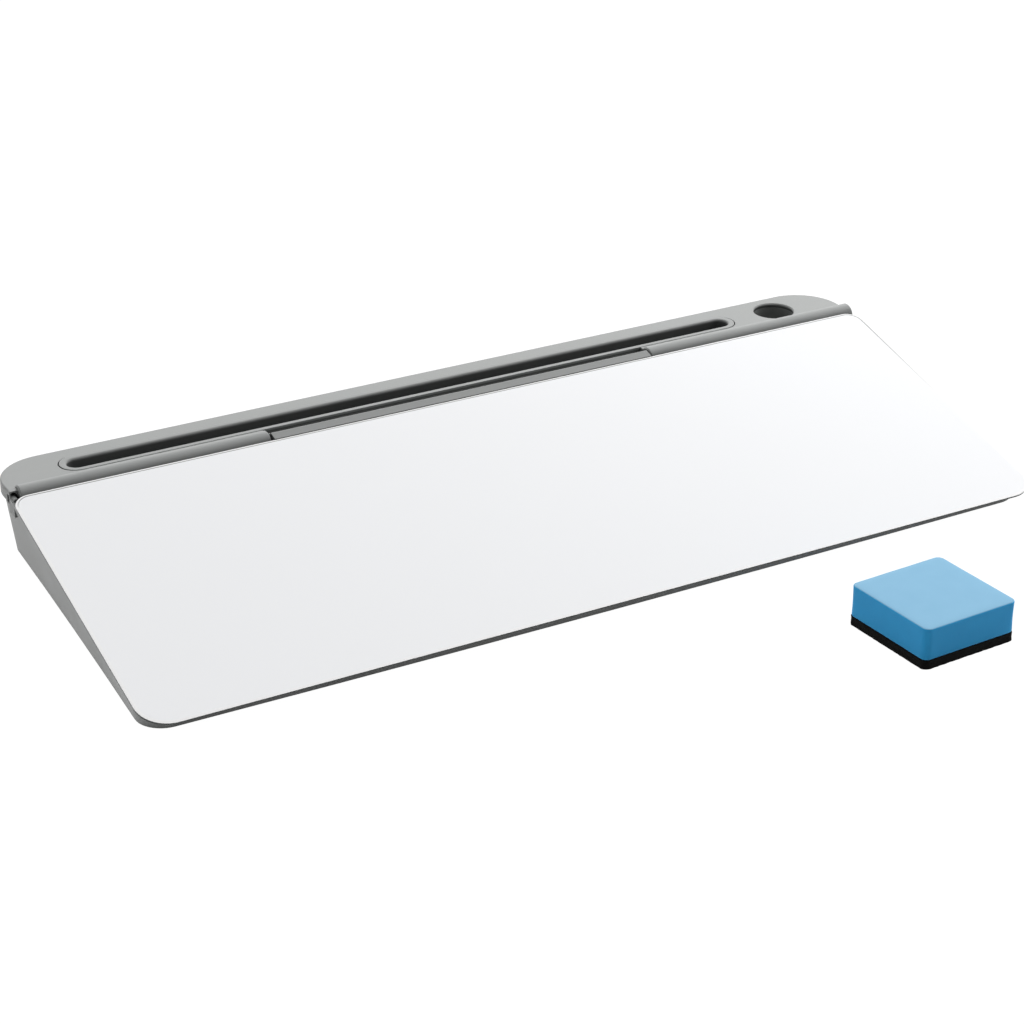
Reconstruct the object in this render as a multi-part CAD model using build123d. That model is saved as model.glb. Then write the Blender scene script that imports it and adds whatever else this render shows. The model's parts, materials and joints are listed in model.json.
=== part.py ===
from build123d import *
import math
import os

# Desk whiteboard with a hinged glass lid over a storage tray, a rear rail with a long slot
# and a pen hole, and a loose eraser.  Millimetres, +Z up, +Y to the back, X to the right.
# The origin is the middle of the base tray's underside.

# ------------------------------------------------------------------ driving sizes
# Writing surface
GLASS_WIDTH = 457.2
GLASS_DEPTH = 157.2            # along the slope
GLASS_THICK = 3.2
GLASS_FRONT_RADIUS = 14.0
GLASS_REAR_RADIUS = 8.0
GLASS_BEVEL = 1.2              # width of the bevel on the top edge
GLASS_BEVEL_DROP = 0.3
GLASS_UNDERCUT = 2.0           # ground-away lower edge, in from the sides and up from below
TILT = 14.4                    # slope of the writing surface, degrees
FRONT_HEIGHT = 7.2             # top of the glass above the tray's underside, at its front edge
GLASS_FRONT_Y = -98.3          # front edge of the glass

# Layers behind the glass
BACKCOAT_THICK = 0.2
BACKCOAT_MARGIN = 0.2          # in from the ground-away edge
STEEL_THICK = 0.5
STEEL_INSET = 6.0              # from the rim of the frame's recess
TAPE_THICK = 0.8
TAPE_WIDTH = 18.0
TAPE_COUNT = 3

# Hinge
HINGE_SETBACK = 5.45           # from the glass's rear edge to the axis, along the slope
KNUCKLE_RADIUS = 5.0           # also how far the axis lies below the glass's top plane
KNUCKLE_HALF = 102.6           # half the length of the lid's knuckle
KNUCKLE_SHIFT = 1.7            # knuckle's middle to the right of the lid's middle
KNUCKLE_GAP = 1.0              # between the knuckle's end and the barrel
KNUCKLE_EDGE = 0.6             # broken edges of the knuckle's and the barrels' ends
BARREL_RADIUS = 5.3
PIN_RADIUS = 2.0
PIN_LENGTH = 31.0
PIN_IN_KNUCKLE = 14.8
PIN_RUNNING_FIT = 0.05         # radial, in the knuckle
PIN_SEAT_FIT = 0.02            # radial, in the barrel
PIN_END_ROOM = 0.3
PIN_BOSS = 22.0                # stretch of a barrel that stays solid round its pin

# Lid frame
FRAME_THICK = 2.6
FRAME_RIB_DEPTH = 1.2
FRAME_RIB_WIDTH = 1.6
FRAME_RIB_SPACING = 47.6
FRAME_RIB_COUNT = 9
FRAME_CROSS_RIB_COUNT = 3
LANDING_SIDE = 9.0             # pads under the frame, over the bumpers
GLASS_JOINT = 0.15             # between the glass's rear edge and the knuckle strip
FRAME_RIM = 5.0                # width of the frame's rim round the recess
FRAME_CORNER = 9.0
LID_CLEARANCE = 0.8            # between the frame's edge and the tray's walls
RIM_GAP = 0.35                 # between the tray's rim and the lid

# Base tray
WALL = 2.4
FLOOR = 2.0
WALL_LEAN = 13.2               # outward lean of the walls, degrees from upright
FRONT_INSET = 6.8              # foot of the front wall behind the glass's front edge
FRONT_BOW = 1.8                # how far the middle of the front wall stands ahead of its ends
FRONT_CORNER = 12.5
SIDE_BOW = 0.6                 # how far the middle of a side wall stands in from its ends
REAR_FOOT_BACK = 5.0           # foot of the rear wall behind the rail
REAR_CORNER_FOOT = 3.0         # the rear corners' radius at the floor
DIVIDER = 1.6
DIVIDER_SPACING = 152.4
PARTITION = 3.4                # wall under the hinge barrels
PARTITION_BACK = 2.0           # its rear face behind the axis
KNUCKLE_ROOM = 0.9             # free space under the knuckle

# Rear rail
RAIL_END_SET = 1.4             # rail's ends in from the glass's sides
RAIL_REACH = 30.8              # from the hinge axis to the rail's rear face
RAIL_RISE = 3.66               # rail's top above the hinge axis
RAIL_SKIRT = 5.7               # height of the rail's upright edge
RAIL_CHAMFER_IN = 1.8
RAIL_CHAMFER_DROP = 3.0
RAIL_CORNER = 23.0
RAIL_EDGE = 0.9                # rounding of the rail's top edge
RAIL_PLATE = 2.2
RAIL_WALL = 2.0
RAIL_END_AHEAD = 0.9           # front face of the rail's ends, ahead of the axis
RAIL_END_BLOCK = 6.9           # thickness of the rail's ends, front to back
CUTOUT_REACH = 5.7             # rear edge of the cut-out behind the axis

# Post of the tray's wall that stands in the rail's arched notch
POST_OUTER = 0.5               # in from the rail's end
POST_WIDTH = 2.6
POST_DEPTH = 6.6
POST_TOP = 1.5                 # above the hinge axis
NOTCH_GAP = 0.6
NOTCH_GAP_TOP = 1.5
LEFT_BARREL_SET = 4.1          # outer end of the left barrel, in from the rail's end
RIGHT_BARREL_PROUD = 1.8       # outer end of the right barrel, past the rail's end
BARREL_ROOM = 0.4              # round the right barrel, in the tray's wall

# Slot liner
SLOT_LEFT_INSET = 32.4         # from the rail's left end to the slot
SLOT_PEN_GAP = 29.7            # from the slot to the pen hole's centre
SLOT_BACK = 13.8               # slot's centre line behind the axis
SLOT_OPENING = 9.7
SLOT_RIM = 3.3
SLOT_RIM_THICK = 1.8
SLOT_RIM_PROUD = 0.15
SLOT_MOUTH = 1.2               # rounding of the rim's inner edge
SLOT_DEPTH = 18.0              # floor of the slot below the rail's top
SLOT_WALL = 1.6
SLOT_SEAM = 0.2                # round the rim
SLOT_END_SEAM = 0.6            # at the rim's ends
SLOT_FIT = 0.1

# Pen hole
PEN_INSET = 35.2               # from the rail's right end to the hole's centre
PEN_BACK = 14.2
PEN_RADIUS = 10.3
PEN_DEPTH = 34.0
CUP_WALL = 1.6
CUP_FLOOR = 1.8
COLLAR_WALL = 1.4
COLLAR_DROP = 3.0
COLLAR_FIT = 0.1
PEN_EDGE = 0.6

# Screws that hold the rail, driven from below
SCREW_RADIUS = 1.3
SCREW_HEAD_RADIUS = 2.5        # over the corners of the six-sided head
SCREW_HEAD_THICK = 1.6
SCREW_LENGTH = 14.0
SCREW_FIT = 0.05
SCREW_HOLE_EASE = 0.3
BOSS_WALL = 1.5
BOSS_GAP = 0.3                 # between a rail boss and the tray's rear wall
BOSS_JOINT_Z = 20.0            # where the tray's bosses meet the rail's
BOSS_SHELF = 2.4
END_BOSS_INSET = 14.7          # in from the rail's end
END_BOSS_BACK = 12.4
REAR_BOSS_SPACING = 170.0
REAR_BOSS_COUNT = 2

# Soft and magnetic parts
FOOT_LENGTH = 34.0
FOOT_WIDTH = 9.0
FOOT_THICK = 1.6
FOOT_PROUD = 0.8
FOOT_INSET_X = 40.0            # foot's centre in from the tray's side
FOOT_FRONT_INSET = 14.0
FOOT_REAR_INSET = 11.0
MAGNET_SIDE = 10.0
MAGNET_THICK = 2.0
MAGNET_INSET_X = 30.0          # in from the glass's side
MAGNET_INSET_Y = 30.0          # back from the glass's front edge
MAGNET_COVER = 0.5             # air between the magnet and the lid's underside
MAGNET_FIT = 0.05
BUMPER_SIDE = 6.4
BUMPER_THICK = 1.2
BUMPER_AIR = 0.3               # between a bumper and the lid's underside
BUMPER_FRONT_INSET = 50.3      # back from the glass's front edge
BUMPER_REAR_INSET = 16.5       # ahead of the hinge axis
BUMPER_POST_SIDE = 8.8
BUMPER_SINK = 0.5

# Eraser
ERASER_SIDE = 50.8
FOAM_THICK = 14.9
FELT_THICK = 4.5
ERASER_CORNER = 3.2
ERASER_YAW = 3.0
ERASER_X = 104.4
ERASER_Y = -175.1
ERASER_MAGNET_SIDE = 20.0
ERASER_MAGNET_THICK = 1.5
ERASER_MAGNET_ROOM = 0.1
ERASER_EDGE = 0.6

# ------------------------------------------------------------------ worked out from them
SLOPE_SIN = math.sin(math.radians(TILT))
SLOPE_COS = math.cos(math.radians(TILT))
LEAN = math.tan(math.radians(WALL_LEAN))
AXIS_RUN = GLASS_DEPTH + HINGE_SETBACK
AXIS_Y = GLASS_FRONT_Y + AXIS_RUN * SLOPE_COS + KNUCKLE_RADIUS * SLOPE_SIN
AXIS_Z = FRONT_HEIGHT + AXIS_RUN * SLOPE_SIN - KNUCKLE_RADIUS * SLOPE_COS
LID = Location((0, AXIS_Y, AXIS_Z), (TILT, 0, 0))   # lid's own frame: y up the slope, z off the glass

FRAME_TOP = KNUCKLE_RADIUS - GLASS_THICK - BACKCOAT_THICK
FRAME_BOTTOM = FRAME_TOP - FRAME_THICK
RIB_BOTTOM = FRAME_BOTTOM - FRAME_RIB_DEPTH
RIM_LEVEL = FRAME_TOP - RIM_GAP
RECESS_LEVEL = FRAME_TOP - STEEL_THICK - TAPE_THICK
FRAME_DROP = (KNUCKLE_RADIUS - RIB_BOTTOM) / SLOPE_COS
FRAME_HALF_WIDTH = GLASS_WIDTH / 2 - LEAN * FRAME_DROP - WALL - SIDE_BOW - LID_CLEARANCE
FRAME_FRONT = -AXIS_RUN + (FRONT_INSET + FRONT_BOW + WALL + LID_CLEARANCE) / SLOPE_COS
FRAME_REAR = -(HINGE_SETBACK + LID_CLEARANCE / 2)

RAIL_HALF_WIDTH = GLASS_WIDTH / 2 - RAIL_END_SET
RAIL_TOP_Z = AXIS_Z + RAIL_RISE
RAIL_REAR_Y = AXIS_Y + RAIL_REACH
RAIL_FRONT_Y = AXIS_Y - RAIL_END_AHEAD
SKIRT_Z = RAIL_TOP_Z - RAIL_SKIRT
PARTING_Z = SKIRT_Z - RAIL_CHAMFER_DROP
PLATE_Z = RAIL_TOP_Z - RAIL_PLATE
TRAY_TOP_Z = AXIS_Z + KNUCKLE_RADIUS
BARREL_START = KNUCKLE_HALF + KNUCKLE_GAP
RIGHT_BARREL_END = RAIL_HALF_WIDTH + RIGHT_BARREL_PROUD - KNUCKLE_SHIFT
LEFT_BARREL_END = RAIL_HALF_WIDTH - LEFT_BARREL_SET + KNUCKLE_SHIFT
PARTITION_Y = AXIS_Y + PARTITION_BACK
NOTCH_DEPTH = POST_DEPTH / 2

TRAY_FRONT_Y = GLASS_FRONT_Y + FRONT_INSET
PEN_X = RAIL_HALF_WIDTH - PEN_INSET
PEN_Y = AXIS_Y + PEN_BACK
SLOT_START_X = SLOT_LEFT_INSET - RAIL_HALF_WIDTH
SLOT_LENGTH = PEN_X - SLOT_PEN_GAP - SLOT_START_X
SLOT_CENTRE_X = SLOT_START_X + SLOT_LENGTH / 2
SLOT_Y = AXIS_Y + SLOT_BACK
CUP_RADIUS = PEN_RADIUS + CUP_WALL
END_BOSS_X = RAIL_HALF_WIDTH - END_BOSS_INSET
BOSS_SIDE = 2 * (SCREW_RADIUS + BOSS_WALL)
HEAD_BORE = SCREW_HEAD_RADIUS + SCREW_HOLE_EASE
HEAD_SEAT_Z = BOSS_JOINT_Z - BOSS_SHELF
REAR_BOSS_Y = RAIL_REAR_Y - RAIL_CHAMFER_IN - WALL - BOSS_SIDE / 2 - BOSS_GAP
BACKCOAT_INSET = GLASS_UNDERCUT + BACKCOAT_MARGIN
UNDER_KNUCKLE_Z = AXIS_Z - KNUCKLE_RADIUS - KNUCKLE_ROOM
FAR = 600.0


def glass_height(y):
    """Height of the glass's top plane above the tray's underside, at depth y."""
    return FRONT_HEIGHT + (y - GLASS_FRONT_Y) * SLOPE_SIN / SLOPE_COS


def wall_half_width(y, z):
    """Outer face of the leaning side wall, whose plane meets the glass's edge."""
    return GLASS_WIDTH / 2 - LEAN * (glass_height(y) - z)


def box_between(x0, x1, y0, y1, z0, z1):
    """Box from its lowest and highest corners."""
    return Pos((x0 + x1) / 2, (y0 + y1) / 2, (z0 + z1) / 2) * Box(x1 - x0, y1 - y0, z1 - z0)


def rod(x0, x1, y, z, radius):
    """Round bar along X."""
    return Pos((x0 + x1) / 2, y, z) * Rot(0, 90, 0) * Cylinder(radius, x1 - x0)


def post(x, y, z0, z1, radius):
    """Round bar along Z."""
    return Pos(x, y, (z0 + z1) / 2) * Cylinder(radius, z1 - z0)


def block(x, y, z0, z1, width, depth):
    """Upright block about a point."""
    return Pos(x, y, (z0 + z1) / 2) * Box(width, depth, z1 - z0)


def slab(face, z0, z1):
    """Prism over a face, between two heights."""
    return Pos(0, 0, z0) * extrude(face, amount=z1 - z0)


def left_hand(shape):
    """Mirror image of a right-hand shape."""
    return mirror(shape, about=Plane.YZ)


def both_sides(shape):
    """A right-hand shape and its mirror image on the left."""
    return shape + left_hand(shape)


def plate_outline(half_width, front, rear, front_radius, rear_radius):
    """Rectangle with one radius at its front corners and another at its rear ones."""
    face = Pos(0, (front + rear) / 2) * Rectangle(2 * half_width, rear - front)
    face = fillet(face.vertices().group_by(Axis.Y)[0], front_radius)
    return fillet(face.vertices().group_by(Axis.Y)[-1], rear_radius)


# ------------------------------------------------------------------ base tray
def tray_section(z, inset=0.0):
    """Horizontal outline of the tray's walls at height z, moved inwards by inset."""
    share = z / PARTING_Z
    rear_y = RAIL_REAR_Y + REAR_FOOT_BACK * (1 - share) - RAIL_CHAMFER_IN * share - inset
    front_y = TRAY_FRONT_Y - LEAN * z + inset
    corner_y = front_y + FRONT_BOW
    front_x = wall_half_width(corner_y, z) - inset
    rear_x = wall_half_width(rear_y, z) - inset
    middle = ((front_x + rear_x) / 2 - SIDE_BOW, (corner_y + rear_y) / 2)
    rear_growth = RAIL_CORNER - RAIL_CHAMFER_IN - REAR_CORNER_FOOT
    edges = [
        ThreePointArc((-front_x, corner_y), (0, front_y), (front_x, corner_y)),
        ThreePointArc((front_x, corner_y), middle, (rear_x, rear_y)),
        Line((rear_x, rear_y), (-rear_x, rear_y)),
        ThreePointArc((-rear_x, rear_y), (-middle[0], middle[1]), (-front_x, corner_y)),
    ]
    face = make_face(edges)
    face = fillet(face.vertices().group_by(Axis.Y)[0], FRONT_CORNER - inset)
    face = fillet(face.vertices().group_by(Axis.Y)[-1], REAR_CORNER_FOOT + rear_growth * share - inset)
    return Pos(0, 0, z) * face


def tray_body(z0, inset):
    """Solid wedge inside the tray's walls, inset from their outer faces."""
    return loft([tray_section(z, inset) for z in (z0, PARTING_Z, TRAY_TOP_Z)], ruled=True)


def above_lid_plane(level, y_end):
    """Everything above a plane parallel to the glass, as far back as y_end."""
    above = LID * box_between(-FAR, FAR, -FAR, FAR, level, FAR)
    return above & box_between(-FAR, FAR, -FAR, y_end, -FAR, FAR)


def between_barrels(y0, y1, z0):
    """Everything between the barrels' inner ends, above z0."""
    return Pos(KNUCKLE_SHIFT) * box_between(-BARREL_START, BARREL_START, y0, y1, z0, FAR)


def partition_wall():
    """Wall under the hinge line, lower between the barrels to clear the knuckle."""
    wall = box_between(-FAR, FAR, PARTITION_Y - PARTITION, PARTITION_Y, FLOOR / 2, PARTING_Z)
    return wall - between_barrels(-FAR, FAR, UNDER_KNUCKLE_Z)


def divider(side):
    """Rib between two storage spaces, its top just under the lid."""
    x = side * DIVIDER_SPACING / 2
    rear = PARTITION_Y - PARTITION / 2
    rib = box_between(x - DIVIDER / 2, x + DIVIDER / 2, -FAR, rear, FLOOR / 2, UNDER_KNUCKLE_Z)
    return rib - above_lid_plane(RIB_BOTTOM - LID_CLEARANCE, FAR)


def bumper_places():
    """Name and place of each lid bumper."""
    places = []
    for row, y in (("front", GLASS_FRONT_Y + BUMPER_FRONT_INSET), ("rear", AXIS_Y - BUMPER_REAR_INSET)):
        for side, sign in (("left", -1), ("right", 1)):
            places.append((f"lid_bumper_{row}_{side}", sign * DIVIDER_SPACING / 2, y))
    return places


def bumper_location(x, y):
    """Frame of a bumper: z = 0 is its underside and z points at the lid."""
    level = RIB_BOTTOM - BUMPER_AIR - BUMPER_THICK
    run = (y - AXIS_Y + level * SLOPE_SIN) / SLOPE_COS
    return LID * Location((x, run, level))


def bumper(x, y):
    """Soft square pad for the lid to close on."""
    return bumper_location(x, y) * block(0, 0, 0, BUMPER_THICK, BUMPER_SIDE, BUMPER_SIDE)


def bumper_post(x, y):
    """Square post with a shallow seat for a bumper in its top."""
    column = block(x, y, FLOOR / 2, FAR, BUMPER_POST_SIDE, BUMPER_POST_SIDE)
    column -= bumper_location(x, y) * box_between(-FAR, FAR, -FAR, FAR, BUMPER_SINK, FAR)
    return column - bumper(x, y)


def magnet_location(side):
    """Frame of a catch magnet: z = 0 is its underside and z points at the lid."""
    level = FRAME_BOTTOM - MAGNET_COVER - MAGNET_THICK
    return LID * Location((side * (GLASS_WIDTH / 2 - MAGNET_INSET_X), MAGNET_INSET_Y - AXIS_RUN, level))


def magnet_boss(side):
    """Square boss with an open pocket for a catch magnet."""
    seat = magnet_location(side)
    place = seat.position
    column = block(place.X, place.Y, FLOOR / 2, FAR, MAGNET_SIDE + WALL, MAGNET_SIDE + WALL)
    column -= seat * box_between(-FAR, FAR, -FAR, FAR, MAGNET_THICK, FAR)
    pocket = MAGNET_SIDE + 2 * MAGNET_FIT
    return column - seat * block(0, 0, 0, 2 * MAGNET_THICK, pocket, pocket)


def screw_places():
    """Places of the screws that hold the rail."""
    places = [(side * END_BOSS_X, AXIS_Y + END_BOSS_BACK) for side in (-1, 1)]
    for i in range(REAR_BOSS_COUNT):
        places.append((SLOT_CENTRE_X + (i - (REAR_BOSS_COUNT - 1) / 2) * REAR_BOSS_SPACING, REAR_BOSS_Y))
    return places


def foot_places():
    """Name and place of each foot."""
    places = []
    for row, y in (("front", TRAY_FRONT_Y + FOOT_FRONT_INSET), ("rear", RAIL_REAR_Y - FOOT_REAR_INSET)):
        for side, sign in (("left", -1), ("right", 1)):
            x = sign * (wall_half_width(y, 0) - FOOT_INSET_X)
            places.append((f"foot_{row}_{side}", x, y))
    return places


def foot(x, y):
    """Rubber foot, half sunk in the tray's underside."""
    return block(x, y, -FOOT_PROUD, FOOT_THICK - FOOT_PROUD, FOOT_LENGTH, FOOT_WIDTH)


def wall_post():
    """Round-topped end of the left side wall, which stands in the rail's notch."""
    outer = POST_OUTER - RAIL_HALF_WIDTH
    radius = POST_WIDTH / 2
    y1 = RAIL_FRONT_Y + NOTCH_DEPTH - NOTCH_GAP
    y0 = y1 - POST_DEPTH
    top = AXIS_Z + POST_TOP
    body = box_between(outer, outer + POST_WIDTH, y0, y1, PARTING_Z - WALL, top - radius)
    return body + Pos(outer + radius, (y0 + y1) / 2, top - radius) * Rot(90, 0, 0) * Cylinder(radius, y1 - y0)


def base_tray():
    """The tray with its ribs, bosses, seats and recesses."""
    outer = tray_body(0, 0)
    tray = outer - tray_body(FLOOR, WALL)
    tray -= above_lid_plane(RIM_LEVEL, RAIL_FRONT_Y)
    tray -= box_between(-FAR, FAR, RAIL_FRONT_Y, FAR, PARTING_Z, FAR)
    inside = [partition_wall(), divider(-1), divider(1), magnet_boss(-1), magnet_boss(1)]
    inside += [bumper_post(x, y) for _, x, y in bumper_places()]
    boss_side = 2 * (HEAD_BORE + BOSS_WALL)
    inside += [block(x, y, FLOOR / 2, BOSS_JOINT_Z, boss_side, boss_side) for x, y in screw_places()]
    for piece in inside:
        tray += piece & outer
    tray += wall_post()
    tray -= rod(KNUCKLE_SHIFT + BARREL_START, FAR, AXIS_Y, AXIS_Z, BARREL_RADIUS + BARREL_ROOM)
    for _, x, y in bumper_places():
        tray -= bumper(x, y)
    for x, y in screw_places():
        tray -= post(x, y, -FLOOR, HEAD_SEAT_Z, HEAD_BORE)
        tray -= post(x, y, 0, BOSS_JOINT_Z + FLOOR, SCREW_RADIUS + SCREW_HOLE_EASE)
    for _, x, y in foot_places():
        tray -= foot(x, y)
    return tray


# ------------------------------------------------------------------ rear rail
def rail_outline(inset, front):
    """Plan of the rail, its ends and rear moved inwards by inset."""
    face = Pos(0, (front + RAIL_REAR_Y - inset) / 2) * Rectangle(
        2 * (RAIL_HALF_WIDTH - inset), RAIL_REAR_Y - inset - front
    )
    return fillet(face.vertices().group_by(Axis.Y)[-1], RAIL_CORNER - inset)


def rail_block():
    """Outer form of the rail: rounded top edge, upright skirt, chamfer below."""
    skirt = slab(rail_outline(0, RAIL_FRONT_Y), SKIRT_Z, RAIL_TOP_Z)
    top_edges = skirt.edges().group_by(Axis.Z)[-1]
    skirt = fillet(top_edges.filter_by(lambda e: e.center().Y > RAIL_FRONT_Y + RAIL_EDGE), RAIL_EDGE)
    chamfered = loft(
        [
            Pos(0, 0, PARTING_Z) * rail_outline(RAIL_CHAMFER_IN, RAIL_FRONT_Y),
            Pos(0, 0, SKIRT_Z) * rail_outline(0, RAIL_FRONT_Y),
        ],
        ruled=True,
    )
    return skirt + chamfered


def rail_cavity():
    """Hollow under the rail's plate, between the hinge beam, the ends and the rear wall."""
    hollow = slab(rail_outline(RAIL_CHAMFER_IN + RAIL_WALL, PARTITION_Y), PARTING_Z, PLATE_Z)
    solid_end = RAIL_HALF_WIDTH - LEFT_BARREL_SET - RAIL_WALL
    end = box_between(solid_end, FAR, -FAR, RAIL_FRONT_Y + RAIL_END_BLOCK, -FAR, FAR)
    return hollow - both_sides(end)


def barrel(end):
    """Right half-round hinge barrel, from the knuckle out to end and solid only round its pin."""
    whole = rod(BARREL_START, end, AXIS_Y, AXIS_Z, BARREL_RADIUS)
    whole = chamfer(whole.edges().filter_by(GeomType.CIRCLE), KNUCKLE_EDGE)
    light = whole - box_between(BARREL_START + PIN_BOSS, FAR, PARTITION_Y, FAR, 0, PLATE_Z)
    return light - box_between(0, FAR, -FAR, FAR, 0, PARTING_Z)


def hinge_barrels():
    """Both barrels, the right one longer."""
    return Pos(KNUCKLE_SHIFT) * (barrel(RIGHT_BARREL_END) + left_hand(barrel(LEFT_BARREL_END)))


def pin_bore():
    """Bore for the pin in the right barrel."""
    end = KNUCKLE_HALF - PIN_IN_KNUCKLE + PIN_LENGTH + PIN_END_ROOM
    return rod(KNUCKLE_HALF, end, AXIS_Y, AXIS_Z, PIN_RADIUS + PIN_SEAT_FIT)


def wall_notch():
    """Arched notch in the front of the rail's left end."""
    half = POST_WIDTH / 2 + NOTCH_GAP
    x = POST_OUTER + POST_WIDTH / 2 - RAIL_HALF_WIDTH
    y0 = RAIL_FRONT_Y - NOTCH_DEPTH
    y1 = RAIL_FRONT_Y + NOTCH_DEPTH
    spring = AXIS_Z + POST_TOP + NOTCH_GAP_TOP - half
    body = box_between(x - half, x + half, y0, y1, 0, spring)
    return body + Pos(x, (y0 + y1) / 2, spring) * Rot(90, 0, 0) * Cylinder(half, y1 - y0)


def pen_mouth():
    """Widening cone that breaks the edge of the pen hole."""
    widening = 3 * PEN_EDGE
    cone = Cone(PEN_RADIUS, PEN_RADIUS + widening, widening)
    return Pos(PEN_X, PEN_Y, RAIL_TOP_Z - PEN_EDGE + widening / 2) * cone


def rear_rail():
    """The rail moulding: plate, skirt, hinge barrels, notches, bosses and openings."""
    rail = rail_block() - rail_cavity()
    rail += hinge_barrels()
    rail += post(PEN_X, PEN_Y, PLATE_Z - COLLAR_DROP, PLATE_Z, CUP_RADIUS + COLLAR_FIT + COLLAR_WALL)
    rail -= post(PEN_X, PEN_Y, 0, PLATE_Z, CUP_RADIUS + COLLAR_FIT)
    for x, y in screw_places():
        rail += block(x, y, BOSS_JOINT_Z, PLATE_Z, BOSS_SIDE, BOSS_SIDE)
        rail -= post(x, y, 0, HEAD_SEAT_Z + SCREW_LENGTH + PIN_END_ROOM, SCREW_RADIUS + SCREW_FIT)
    rail -= between_barrels(-FAR, AXIS_Y + CUTOUT_REACH, 0)
    rail -= Pos(KNUCKLE_SHIFT) * both_sides(pin_bore()) + wall_notch()
    rim = SLOT_OPENING + 2 * (SLOT_RIM + SLOT_SEAM)
    body = SLOT_OPENING + 2 * (SLOT_WALL + SLOT_FIT)
    spare = SLOT_LENGTH - SLOT_OPENING
    place = Pos(SLOT_CENTRE_X, SLOT_Y)
    seat = SlotOverall(rim + spare + 2 * (SLOT_END_SEAM - SLOT_SEAM), rim)
    rail -= place * slab(seat, RAIL_TOP_Z + SLOT_RIM_PROUD - SLOT_RIM_THICK, FAR)
    rail -= place * slab(SlotOverall(body + spare, body), 0, FAR)
    rail -= post(PEN_X, PEN_Y, 0, FAR, PEN_RADIUS)
    return rail - pen_mouth()


def slot_liner():
    """Long trough with a flat rim that stands a little proud of the rail."""
    spare = SLOT_LENGTH - SLOT_OPENING
    rim = SLOT_OPENING + 2 * SLOT_RIM
    body = SLOT_OPENING + 2 * SLOT_WALL
    top = RAIL_TOP_Z + SLOT_RIM_PROUD
    floor = RAIL_TOP_Z - SLOT_DEPTH
    liner = slab(SlotOverall(rim + spare, rim), top - SLOT_RIM_THICK, top)
    liner += slab(SlotOverall(body + spare, body), floor - SLOT_WALL, top - SLOT_RIM_THICK)
    liner -= slab(SlotOverall(SLOT_LENGTH, SLOT_OPENING), floor, top)
    liner = fillet(liner.faces().sort_by(Axis.Z)[-1].inner_wires()[0].edges(), SLOT_MOUTH)
    return Pos(SLOT_CENTRE_X, SLOT_Y) * liner


def pen_cup():
    """Round well under the pen hole."""
    floor = RAIL_TOP_Z - PEN_DEPTH
    cup = post(PEN_X, PEN_Y, floor - CUP_FLOOR, PLATE_Z, CUP_RADIUS)
    return cup - post(PEN_X, PEN_Y, floor, RAIL_TOP_Z, PEN_RADIUS)


def rail_screws():
    """The screws between tray and rail, as separate solids."""
    screws = Part()
    for x, y in screw_places():
        head = Pos(x, y) * RegularPolygon(SCREW_HEAD_RADIUS, 6)
        screws += slab(head, HEAD_SEAT_Z - SCREW_HEAD_THICK, HEAD_SEAT_Z)
        screws += post(x, y, HEAD_SEAT_Z, HEAD_SEAT_Z + SCREW_LENGTH, SCREW_RADIUS)
    return screws


def hinge_pin():
    """Right hinge pin, fixed in its barrel and turning in the knuckle."""
    start = KNUCKLE_HALF - PIN_IN_KNUCKLE
    return rod(start, start + PIN_LENGTH, AXIS_Y, AXIS_Z, PIN_RADIUS)


# ------------------------------------------------------------------ lid, in its own sloping frame
def frame_ribs():
    """Ribs, border and landing pads under the frame."""
    outline = plate_outline(FRAME_HALF_WIDTH, FRAME_FRONT, FRAME_REAR, FRAME_CORNER, FRAME_CORNER)
    inner = plate_outline(
        FRAME_HALF_WIDTH - FRAME_RIB_WIDTH,
        FRAME_FRONT + FRAME_RIB_WIDTH,
        FRAME_REAR - FRAME_RIB_WIDTH,
        FRAME_CORNER - FRAME_RIB_WIDTH,
        FRAME_CORNER - FRAME_RIB_WIDTH,
    )
    whole = slab(outline, RIB_BOTTOM, FRAME_BOTTOM)
    ribs = slab(outline - inner, RIB_BOTTOM, FRAME_BOTTOM)
    half = FRAME_RIB_WIDTH / 2
    for i in range(FRAME_RIB_COUNT):
        x = (i - (FRAME_RIB_COUNT - 1) / 2) * FRAME_RIB_SPACING
        ribs += box_between(x - half, x + half, FRAME_FRONT, FRAME_REAR, RIB_BOTTOM, FRAME_BOTTOM)
    for i in range(FRAME_CROSS_RIB_COUNT):
        y = FRAME_FRONT + (FRAME_REAR - FRAME_FRONT) * (i + 1) / (FRAME_CROSS_RIB_COUNT + 1)
        ribs += box_between(-FRAME_HALF_WIDTH, FRAME_HALF_WIDTH, y - half, y + half, RIB_BOTTOM, FRAME_BOTTOM)
    for _, x, y in bumper_places():
        run = (y - AXIS_Y + RIB_BOTTOM * SLOPE_SIN) / SLOPE_COS
        ribs += block(x, run, RIB_BOTTOM, FRAME_BOTTOM, LANDING_SIDE, LANDING_SIDE)
    return ribs & whole


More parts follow.
